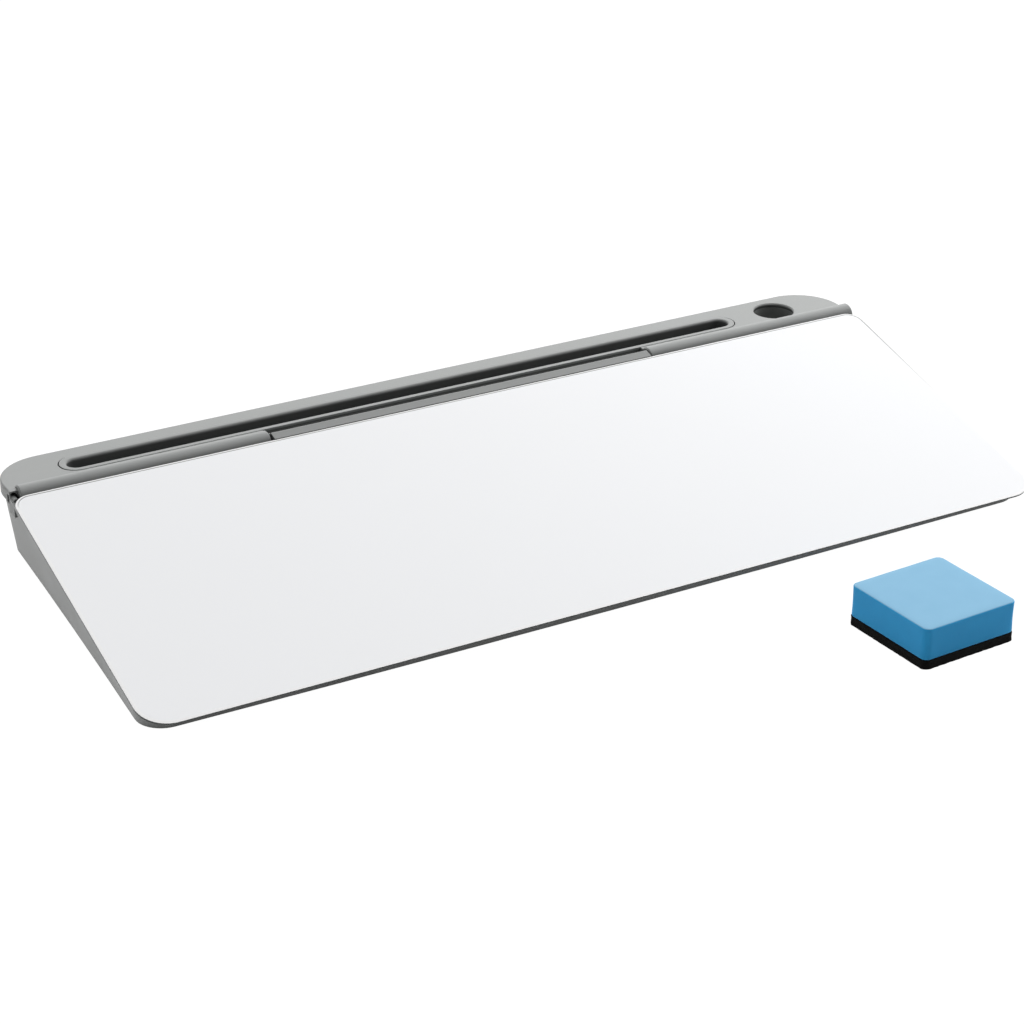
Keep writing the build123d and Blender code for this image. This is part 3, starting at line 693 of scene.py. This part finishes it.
@dataclass(frozen=True)
class WoolFelt:
    """Black pressed felt with matted fibres in layers."""

    name: str
    colour: Colour = from_screen(15, 15, 14)
    fibre: float = 0.18 * MM
    depth: float = 0.12 * MM
    layers: Point = (1.0, 1.0, 2.2)
    tuft: float = 1.4 * MM
    fibre_range: Span = (0.4, 0.75)
    lighter: float = 1.9

    def build(self) -> bpy.types.Material:
        """Makes the material.

        Returns:
            The material.
        """
        bench = NodeBench(bpy.data.materials.new(self.name))
        mat = bench.grain(self.fibre, 4.0, self.layers)
        tufts = bench.grain(self.tuft, 3.0)
        lighter = tinted(self.colour, evenly(self.lighter))
        tone = bench.blend(bench.ramp(mat, *self.fibre_range, 0.0, 1.0), self.colour, lighter)
        skin = bench.relief(bench.math("ADD", mat, tufts), self.depth)
        return bench.finish(Base_Color=tone, Roughness=0.95, Normal=skin, Specular_IOR_Level=0.12,
                            Sheen_Weight=0.03, Sheen_Roughness=0.6)


class Slot(Enum):
    """The record's material slots, by the finish that they carry."""

    GREY_MOULDING = "grey_moulding"
    DARK_MOULDING = "dark_moulding"
    WHITE_GLASS = "white_glass"
    WHITE_FILM = "white_film"
    SHEET_STEEL = "sheet_steel"
    TAPE_FOAM = "tape_foam"
    PIN_STEEL = "pin_steel"
    MAGNET_PLATING = "magnet_plating"
    SOFT_RUBBER = "soft_rubber"
    BLUE_FOAM = "blue_foam"
    BLACK_FELT = "black_felt"


@dataclass
class Wardrobe:
    """Every finish of the board, ready to put on its pieces."""

    grey: Colour = from_screen(152, 154, 153)
    barrel_rise: float = 1.34 * MM
    # how dark the painted shade gets inside the pen cup
    cup_shade: float = 0.8

    def finishes(self) -> dict[Slot, bpy.types.Material]:
        """Makes one material for each slot.

        Returns:
            The materials, by slot.
        """
        plane = LidPlane.measure("glass_panel")
        makers = {
            Slot.GREY_MOULDING: MouldedPlastic("grey_satin_moulding", self.grey),
            Slot.DARK_MOULDING: WellPlastic("grey_liner_moulding", self.grey, roughness=0.5),
            Slot.WHITE_GLASS: BackPaintedGlass("back_painted_glass", plane),
            Slot.WHITE_FILM: Rubber("white_back_coat", from_screen(236, 236, 234), 0.5, 0.3 * MM, 0.004 * MM),
            Slot.SHEET_STEEL: Metal("galvanised_sheet", from_screen(186, 188, 190), 0.42),
            Slot.TAPE_FOAM: Rubber("white_foam_tape", from_screen(222, 221, 216), 0.85, 0.4 * MM),
            Slot.PIN_STEEL: Metal("drawn_steel", from_screen(180, 181, 183), 0.3),
            Slot.MAGNET_PLATING: Metal("nickel_plate", from_screen(205, 204, 200), 0.16, 0.8 * MM,
                                       (1.0, 1.0, 1.0)),
            Slot.SOFT_RUBBER: Rubber("black_rubber", from_screen(38, 38, 39)),
            Slot.BLUE_FOAM: CellFoam("blue_cell_foam"),
            Slot.BLACK_FELT: WoolFelt("black_felt"),
        }
        return {slot: maker.build() for slot, maker in makers.items()}

    def own_finishes(self) -> dict[str, bpy.types.Material]:
        """Makes the greys of single pieces that carry their own painted shade.

        Returns:
            The materials, by node.
        """
        low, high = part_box("pen_cup")
        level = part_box("rear_rail")[1].z - self.barrel_rise
        mouth = Vector(((low.x + high.x) / 2, (low.y + high.y) / 2, level))
        radius = (high.x - low.x) / 2
        makers = {
            # painted shade: the tray darkens over a long reach, under the glass's overhang
            "base_tray": MouldedPlastic("grey_tray_moulding", self.grey, gap_reach=5 * MM, gap_tone=0.2),
            "pen_cup": WellPlastic("grey_cup_moulding", self.grey, inside_shade=self.cup_shade),
            "rear_rail": BoredPlastic("grey_rail_moulding", self.grey, bore=mouth, bore_radius=radius),
        }
        return {node: maker.build() for node, maker in makers.items()}

    def dress(self) -> dict[Slot, bpy.types.Material]:
        """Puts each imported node's finish on it.

        Returns:
            The finishes, for the pieces made here.
        """
        finishes = self.finishes()
        own = self.own_finishes()
        for row in frame["record"]["subparts"]:
            piece = frame["nodes"][row["node"]]
            finish = own.get(row["node"], finishes[Slot(row["material_slot"])])
            if not piece.material_slots:
                piece.data.materials.append(finish)
            for place in piece.material_slots:
                place.material = finish
            LOG.info("dressed %s in %s", piece.name, finish.name)
        return finishes


@dataclass
class SquareBlock:
    """A rounded square block, built as rings of points from its underside to its top."""

    name: str
    node: str
    slot: Slot
    side: float = 50.8 * MM
    corner: float = 3.4 * MM
    yaw: float = math.radians(3.0)
    corner_steps: int = 10
    side_steps: int = 36
    level_steps: int = 12
    edge: float = 0.7 * MM
    edge_steps: int = 4
    cap_rings: int = 9
    cap_reach: float = 0.96
    least_corner: float = 0.12
    sway: float = 0.06 * MM
    sway_spacing: float = 7 * MM

    def outline(self, inset: float) -> list[Vector]:
        """Gives one ring of the block's plan.

        Args:
            inset: How far inside the full outline the ring lies.

        Returns:
            Points round the ring, about the middle.
        """
        half = self.side / 2 - inset
        radius = max(self.corner - inset, self.least_corner * half)
        straight = half - radius
        points = []
        for quarter in range(4):
            turn = quarter * math.pi / 2
            along = Vector((-math.sin(turn), math.cos(turn), 0))
            out = Vector((math.cos(turn), math.sin(turn), 0))
            for step in range(self.side_steps):
                share = (step + 0.5) / self.side_steps * 2 - 1
                points.append(out * half + along * straight * share)
            for step in range(self.corner_steps):
                angle = (step + 0.5) / self.corner_steps * math.pi / 2
                centre = (out + along) * straight
                points.append(centre + out * radius * math.cos(angle) + along * radius * math.sin(angle))
        return points

    def profile(self, height: float) -> list[tuple[float, float]]:
        """Gives the rings, from the middle of the underside round the edges to the middle of the top.

        Args:
            height: The block's height.

        Returns:
            Pairs of inset and height.
        """
        middle = self.side / 2 * self.cap_reach
        rounded = [i / self.edge_steps * math.pi / 2 for i in range(self.edge_steps + 1)]
        cap = [middle + (self.edge - middle) * i / self.cap_rings for i in range(self.cap_rings)]
        rings = [(inset, 0.0) for inset in cap]
        rings += [(self.edge * (1 - math.sin(a)), self.edge * (1 - math.cos(a))) for a in rounded]
        wall = height - 2 * self.edge
        rings += [(0.0, self.edge + wall * i / self.level_steps) for i in range(1, self.level_steps)]
        rings += [(self.edge * (1 - math.cos(a)), height - self.edge * (1 - math.sin(a))) for a in rounded]
        rings += [(inset, height) for inset in reversed(cap)]
        return rings

    def shape(self, point: Vector, height: float) -> Vector:
        """Moves a point of the plain block to where the soft piece has it.

        Args:
            point: The point, about the middle of the underside.
            height: The block's height.

        Returns:
            The moved point.
        """
        flat = Vector((point.x, point.y, 0))
        out = flat.normalized() if flat.length > 0 else flat
        sway = noise.noise(point / self.sway_spacing) * self.sway
        return point + out * sway * min(1.0, flat.length / self.side * 2)

    def turned(self, point: Vector) -> Vector:
        """Turns a point about the block's middle, by its yaw.

        Args:
            point: The point.

        Returns:
            The turned point.
        """
        cosine, sine = math.cos(self.yaw), math.sin(self.yaw)
        return Vector((point.x * cosine - point.y * sine, point.x * sine + point.y * cosine, point.z))

    def build(self, finish: bpy.types.Material) -> bpy.types.Object:
        """Makes the piece in place of its plain solid.

        Args:
            finish: Its material.

        Returns:
            The piece.
        """
        low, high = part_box(self.node)
        height = high.z - low.z
        centre = Vector(((low.x + high.x) / 2, (low.y + high.y) / 2, low.z))
        mesh = bmesh.new()
        rings = []
        for inset, level in self.profile(height):
            ring = []
            for point in self.outline(inset):
                moved = self.shape(Vector((point.x, point.y, level)), height)
                ring.append(mesh.verts.new(centre + self.turned(moved)))
            rings.append(ring)
        count = len(rings[0])
        for lower, upper in zip(rings, rings[1:]):
            for i in range(count):
                j = (i + 1) % count
                mesh.faces.new((lower[i], lower[j], upper[j], upper[i]))
        mesh.faces.new(list(reversed(rings[0])))
        mesh.faces.new(rings[-1])
        self.detail(mesh, centre, height)
        data = bpy.data.meshes.new(self.name)
        mesh.to_mesh(data)
        mesh.free()
        for face in data.polygons:
            face.use_smooth = True
        piece = bpy.data.objects.new(self.name, data)
        bpy.context.scene.collection.objects.link(piece)
        data.materials.append(finish)
        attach(piece, "eraser")
        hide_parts(self.node)
        LOG.info("built %s, %d faces", piece.name, len(data.polygons))
        return piece

    def detail(self, mesh: bmesh.types.BMesh, centre: Vector, height: float) -> None:
        """Adds what the bare block lacks, which is nothing here.

        Args:
            mesh: The block's mesh, in place.
            centre: The middle of its underside.
            height: Its height.
        """


@dataclass
class FoamBlock(SquareBlock):
    """The eraser's foam: cut sides that draw in a little, and a faintly crowned top."""

    waist: float = 0.18 * MM
    crown: float = 0.12 * MM

    def shape(self, point: Vector, height: float) -> Vector:
        """Draws the sides in at mid height and crowns the top.

        Args:
            point: The point, about the middle of the underside.
            height: The block's height.

        Returns:
            The moved point.
        """
        moved = super().shape(point, height)
        share = point.z / height
        reach = max(abs(point.x), abs(point.y)) / (self.side / 2)
        pull = self.waist * math.sin(math.pi * share) * reach
        out = Vector((point.x, point.y, 0)).normalized() if reach > 0 else Vector((0, 0, 0))
        lift = self.crown * (1 - reach ** 2) * max(0.0, share * 2 - 1)
        return moved - out * pull + Vector((0, 0, lift))


@dataclass
class FeltPad(SquareBlock):
    """The eraser's wiping pad: a matted edge, with loose fibres along it."""

    corner: float = 2.4 * MM
    edge: float = 0.35 * MM
    sway: float = 0.32 * MM
    sway_spacing: float = 1.7 * MM
    fibres: int = 900
    fibre_length: float = 0.9 * MM
    fibre_width: float = 0.06 * MM
    fibre_root: float = 0.3 * MM
    fibre_lowest: float = 0.04
    fibre_rise: float = 0.9
    fibre_settling: float = 1.5
    fibre_splay: float = 2.4
    fibre_droop: float = 0.62
    fibre_shortest: float = 0.4
    desk_gap: float = 0.02 * MM

    def detail(self, mesh: bmesh.types.BMesh, centre: Vector, height: float) -> None:
        """Adds loose fibres round the pad's sides.

        Args:
            mesh: The pad's mesh, in place.
            centre: The middle of its underside.
            height: Its height.
        """
        ring = self.outline(0.0)
        for i in range(self.fibres):
            seat = self.scatter(i)
            start = ring[int(seat.x * len(ring)) % len(ring)]
            level = height * (self.fibre_lowest + self.fibre_rise * seat.y ** self.fibre_settling)
            out = Vector((start.x, start.y, 0)).normalized()
            along = Vector((-out.y, out.x, 0))
            root = Vector((start.x, start.y, level)) - out * self.fibre_root
            lift = self.scatter(i + self.fibres).x - self.fibre_droop
            lean = along * (seat.z - 0.5) * self.fibre_splay + Vector((0, 0, lift))
            share = self.fibre_shortest + (1 - self.fibre_shortest) * seat.z
            tip = root + (out + lean).normalized() * self.fibre_length * share
            tip.z = max(tip.z, self.desk_gap)
            side = Vector((0, 0, self.fibre_width)) if i % 2 else along * self.fibre_width
            corners = [root - side / 2, root + side / 2, tip]
            mesh.faces.new([mesh.verts.new(centre + self.turned(point)) for point in corners])

    @staticmethod
    def scatter(index: int) -> Vector:
        """Gives three evenly spread numbers for an index, the same on every run.

        Args:
            index: The index.

        Returns:
            The numbers, each from 0 to 1.
        """
        return Vector([(index * step) % 1 for step in SPREAD])


@dataclass
class LidMoulding:
    """The lid's frame, with its knuckle strip stepped down behind the hinge line to a slimmer roll.

    Points of the profile are pairs: how far up the slope from the hinge axis, and how far above it. Angles
    are in degrees up from the slope.
    """

    node: str = "lid_frame"
    name: str = "lid_moulding"
    tone: Colour = from_screen(134, 136, 135)
    # painted shade: the lid darkens over a long reach, behind its knuckle strip and under the glass
    gap_reach: float = 6 * MM
    gap_tone: float = 0.2
    strip_top: float = 5.0 * MM
    strip_end: float = -0.53 * MM
    edge: float = 0.8 * MM
    roll: float = 3.6 * MM
    full_roll: float = 5.05 * MM
    clear: float = 7.0 * MM
    reach: float = 104.5 * MM
    weld: float = 0.001 * MM
    edge_start: int = 84
    edge_step: int = 14
    roll_end: int = 80
    roll_steps: int = 24
    sharp: float = math.radians(25)

    def cut_profile(self) -> list[tuple[float, float]]:
        """Gives the outline of what is cut away behind the strip.

        Returns:
            The profile's points, in order round it.
        """
        points = [(self.strip_end + self.edge * math.cos(math.radians(self.edge_start)), self.clear)]
        for degrees in range(self.edge_start, -1, -self.edge_step):
            turn = math.radians(degrees)
            level = self.strip_top - self.edge + self.edge * math.sin(turn)
            points.append((self.strip_end + self.edge * math.cos(turn), level))
        wall = self.strip_end + self.edge
        start = math.degrees(math.acos(wall / self.roll))
        for step in range(self.roll_steps + 1):
            degrees = start - (start + self.roll_end) * step / self.roll_steps
            grown = max(0.0, -degrees / self.roll_end)
            radius = self.roll + (self.full_roll - self.roll) * grown * grown * (3 - 2 * grown)
            turn = math.radians(degrees)
            points.append((radius * math.cos(turn), radius * math.sin(turn)))
        points.append((self.clear * math.cos(math.radians(self.roll_end)), -self.clear))
        points.append((self.clear, -self.clear))
        points.append((self.clear, self.clear))
        return points

    def cutter(self, plane: LidPlane) -> bpy.types.Object:
        """Makes the solid that is cut away.

        Args:
            plane: The lid's plane.

        Returns:
            The solid, which is removed again once it has cut.
        """
        mesh = bmesh.new()
        rings = []
        for across in (-self.reach, self.reach):
            ring = []
            for run, rise in self.cut_profile():
                spot = plane.axis + plane.up_slope * run + plane.normal * rise
                ring.append(mesh.verts.new((across, spot.y, spot.z)))
            rings.append(ring)
        left, right = rings
        mesh.faces.new(left)
        mesh.faces.new(list(reversed(right)))
        for i in range(len(left)):
            j = (i + 1) % len(left)
            mesh.faces.new((left[j], left[i], right[i], right[j]))
        bmesh.ops.recalc_face_normals(mesh, faces=mesh.faces)
        data = bpy.data.meshes.new("knuckle_cut")
        mesh.to_mesh(data)
        mesh.free()
        solid = bpy.data.objects.new("knuckle_cut", data)
        bpy.context.scene.collection.objects.link(solid)
        return solid

    def build(self, plane: LidPlane) -> bpy.types.Object:
        """Makes the moulding in place of the plain frame.

        Args:
            plane: The lid's plane.

        Returns:
            The moulding.
        """
        mesh = bmesh.new()
        mesh.from_mesh(frame["nodes"][self.node].data)
        bmesh.ops.remove_doubles(mesh, verts=mesh.verts, dist=self.weld)
        data = bpy.data.meshes.new(self.name)
        mesh.to_mesh(data)
        mesh.free()
        if "custom_normal" in data.attributes:
            data.attributes.remove(data.attributes["custom_normal"])
        piece = bpy.data.objects.new(self.name, data)
        bpy.context.scene.collection.objects.link(piece)
        solid = self.cutter(plane)
        cut = piece.modifiers.new("cut", "BOOLEAN")
        cut.operation = "DIFFERENCE"
        cut.solver = "EXACT"
        cut.object = solid
        shaped = piece.evaluated_get(bpy.context.evaluated_depsgraph_get())
        piece.data = bpy.data.meshes.new_from_object(shaped)
        piece.modifiers.clear()
        bpy.data.objects.remove(solid)
        for face in piece.data.polygons:
            face.use_smooth = True
        piece.data.set_sharp_from_angle(angle=self.sharp)
        piece.data.materials.clear()
        finish = MouldedPlastic("lid_satin_moulding", self.tone, gap_reach=self.gap_reach,
                                gap_tone=self.gap_tone)
        piece.data.materials.append(finish.build())
        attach(piece, "lid")
        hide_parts(self.node)
        LOG.info("built %s, %d faces", piece.name, len(piece.data.polygons))
        return piece


@dataclass(frozen=True)
class Softbox:
    """One soft light, which lights the pieces but isn't mirrored in them."""

    name: str
    place: Point
    aim: Point
    width: float
    height: float
    power: float

    def hang(self) -> None:
        """Hangs the light, facing its aim."""
        light = bpy.data.lights.new(self.name, "AREA")
        light.shape = "RECTANGLE"
        light.size, light.size_y = self.width, self.height
        light.energy = self.power
        lamp = bpy.data.objects.new(self.name, light)
        lamp.location = self.place
        lamp.rotation_mode = "QUATERNION"
        facing = Vector(self.aim) - Vector(self.place)
        lamp.rotation_quaternion = facing.to_track_quat("-Z", "Y")
        lamp.visible_glossy = False
        bpy.context.scene.collection.objects.link(lamp)


@dataclass
class Studio:
    """Pale floor, soft lights and the camera."""

    floor_size: float = 8.0
    desk_level: float = -0.8 * MM
    floor_tone: float = 0.5
    veil: float = 0.85
    veil_strength: float = 1.17
    front_light: float = 0.07
    rear_light: float = 0.62
    behind: Point = (0.49, 0.87, 0.0)
    room_range: Span = (-0.8, 0.8)
    window_light: float = 1.3
    window: Point = (0.50, 0.56, 0.66)
    window_range: Span = (0.35, 0.98)
    lamps: tuple[Softbox, ...] = (
        Softbox("right_rear", (0.58, 0.22, 0.60), (0.12, 0.02, 0.0), 0.5, 0.4, 2.0),
        Softbox("right_front", (0.80, -0.30, 0.30), (0.15, 0.0, 0.0), 0.4, 0.4, 0.8),
        Softbox("left_low", (-1.1, -0.25, 0.22), (0.0, -0.05, 0.0), 0.7, 0.3, 1.0),
    )

    focal_px: float = 2530.87
    picture_px: float = 1024.0
    sensor_mm: float = 36.0
    eye: Point = (-528.565 * MM, -928.228 * MM, 527.790 * MM)
    pitch: float = math.radians(25.959)
    heading: float = math.radians(29.386)
    nearest: float = 0.01
    farthest: float = 50.0

    def seen_directly(self, bench: NodeBench) -> bpy.types.NodeSocket:
        """Tells the rays that see the floor from those that light the pieces.

        Args:
            bench: Where the nodes go.

        Returns:
            1 for camera, glossy and transmission rays, and 0 for the rest.
        """
        path = bench.add("LightPath")
        shown = bench.math("MAXIMUM", path.outputs["Is Camera Ray"], path.outputs["Is Glossy Ray"])
        return bench.math("MAXIMUM", shown, path.outputs["Is Transmission Ray"])

    def floor(self) -> None:
        """Lays a pale floor that keeps the shadow."""
        half = self.floor_size / 2
        mesh = bmesh.new()
        outline = [(-half, -half), (half, -half), (half, half), (-half, half)]
        mesh.faces.new([mesh.verts.new((x, y, self.desk_level)) for x, y in outline])
        data = bpy.data.meshes.new("floor")
        mesh.to_mesh(data)
        mesh.free()
        piece = bpy.data.objects.new("floor", data)
        bpy.context.scene.collection.objects.link(piece)
        bench = NodeBench(bpy.data.materials.new("pale_floor"))
        matte = bench.add("BsdfDiffuse", Color=evenly(self.floor_tone))
        glow = bench.add("Emission", Color=WHITE, Strength=self.veil_strength)
        share = bench.math("MULTIPLY", self.seen_directly(bench), self.veil)
        mix = bench.add("MixShader")
        bench.feed(mix, 0, share)
        bench.feed(mix, 1, matte.outputs[0])
        bench.feed(mix, 2, glow.outputs[0])
        bench.feed(bench.output, "Surface", mix.outputs[0])
        data.materials.append(bench.owner)

    def sky(self) -> None:
        """Gives the surroundings a light that is dim in front, brighter behind and brightest towards the window,
        and white where they show.
        """
        world = bpy.data.worlds.new("studio")
        bpy.context.scene.world = world
        bench = NodeBench(world, "OutputWorld")
        direction = bench.add("TexCoord").outputs["Generated"]
        behind = bench.dot(direction, Vector(self.behind).normalized())
        room = bench.ramp(behind, *self.room_range, self.front_light, self.rear_light, "SMOOTHSTEP")
        toward = bench.dot(direction, Vector(self.window).normalized())
        glow = bench.ramp(toward, *self.window_range, 0.0, self.window_light, "SMOOTHSTEP")
        path = bench.add("LightPath")
        shown = bench.math("MAXIMUM", path.outputs["Is Camera Ray"], path.outputs["Is Transmission Ray"])
        strength = bench.ramp(shown, 0.0, 1.0, bench.math("ADD", room, glow), 1.0)
        backdrop = bench.add("Background", Color=WHITE, Strength=strength)
        bench.feed(bench.output, "Surface", backdrop.outputs[0])

    def camera(self) -> None:
        """Sets up the camera."""
        data = bpy.data.cameras.new("camera")
        data.sensor_width = self.sensor_mm
        data.lens = self.focal_px / self.picture_px * self.sensor_mm
        data.clip_start = self.nearest
        data.clip_end = self.farthest
        eye = bpy.data.objects.new("camera", data)
        eye.location = self.eye
        eye.rotation_euler = (math.pi / 2 - self.pitch, 0.0, -self.heading)
        bpy.context.scene.collection.objects.link(eye)
        bpy.context.scene.camera = eye

    def build(self) -> None:
        """Sets the whole studio."""
        self.camera()
        self.floor()
        self.sky()
        for lamp in self.lamps:
            lamp.hang()
        bpy.context.scene.view_settings.view_transform = "Standard"
        LOG.info("studio is set")


def corners(box: tuple[Vector, Vector]) -> list[list[float]]:
    """Turns a box's two corners into plain lists.

    Args:
        box: The low and the high corner.

    Returns:
        The two corners, each as a list.
    """
    return [list(corner) for corner in box]


def main() -> None:
    """Dresses the frame, builds the lid's moulding and the eraser, and sets the studio."""
    logging.basicConfig(level=logging.INFO, format="%(name)s: %(message)s")
    finishes = Wardrobe().dress()
    LidMoulding().build(LidPlane.measure("glass_panel"))
    FoamBlock("eraser_block", "eraser_foam", Slot.BLUE_FOAM).build(finishes[Slot.BLUE_FOAM])
    FeltPad("eraser_pad", "eraser_felt", Slot.BLACK_FELT).build(finishes[Slot.BLACK_FELT])
    Studio().build()


if __name__ == "__main__":
    main()
